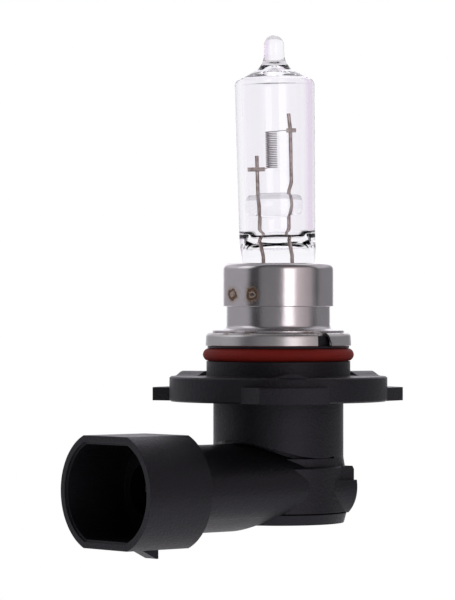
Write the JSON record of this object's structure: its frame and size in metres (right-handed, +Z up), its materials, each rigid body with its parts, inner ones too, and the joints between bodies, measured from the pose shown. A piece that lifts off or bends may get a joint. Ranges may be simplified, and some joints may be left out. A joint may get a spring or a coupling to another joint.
{
  "type": "headlight bulb",
  "caption": "Halogen headlight bulb: quartz tube with one upright filament, bright metal collars, red O-ring, round black flange with locking tabs, and a right-angle plug socket.",
  "frame": {"origin": "on the lamp axis, in the flange face that seats against the reflector, at the foot of the pilot", "axes": "+Z up the lamp axis towards the glass tip; the plug socket opens towards -Y; +X to the right seen from the socket's side"},
  "size_m": [0.0347, 0.0485, 0.0717],
  "materials": {
    "black_plastic_base": "moulded, glass-filled, faintly satin",
    "black_plastic_elbow": "moulded, glass-filled, faintly satin",
    "black_plastic_bottom_cover": "moulded, welded edge",
    "red_rubber": "moulded silicone, dull",
    "ring_steel": "pressed sheet, satin",
    "lower_collar_steel": "drawn sheet, satin",
    "upper_collar_steel": "drawn sheet, bright, two heat-tinted spot welds",
    "clip_steel": "pressed sheet",
    "quartz": "clear",
    "bead_quartz": "clear, slightly milky",
    "tungsten": "drawn wire, dark grey",
    "lead_molybdenum": "drawn wire, heat-browned",
    "clip_molybdenum": "sheet strip, dull",
    "foil_molybdenum": "thin foil, satin",
    "nickel_wire": "plated wire",
    "terminal_tin": "tin-plated strip"
  },
  "bodies": {
    "root": {"base_housing": "black_plastic_base", "connector_housing": "black_plastic_elbow", "bottom_cover": "black_plastic_bottom_cover", "terminal_left": "terminal_tin", "terminal_right": "terminal_tin", "o_ring": "red_rubber", "slotted_ring": "ring_steel", "lower_collar": "lower_collar_steel", "upper_collar": "upper_collar_steel", "pinch_clip": "clip_steel", "glass_envelope": "quartz", "filament": "tungsten", "short_lead": "lead_molybdenum", "long_lead": "lead_molybdenum", "lower_filament_clip": "clip_molybdenum", "upper_filament_clip": "clip_molybdenum", "bridge_bead": "bead_quartz", "foil_short_side": "foil_molybdenum", "foil_long_side": "foil_molybdenum", "outer_lead_short_side": "nickel_wire", "outer_lead_long_side": "nickel_wire"}
  },
  "joints": []
}
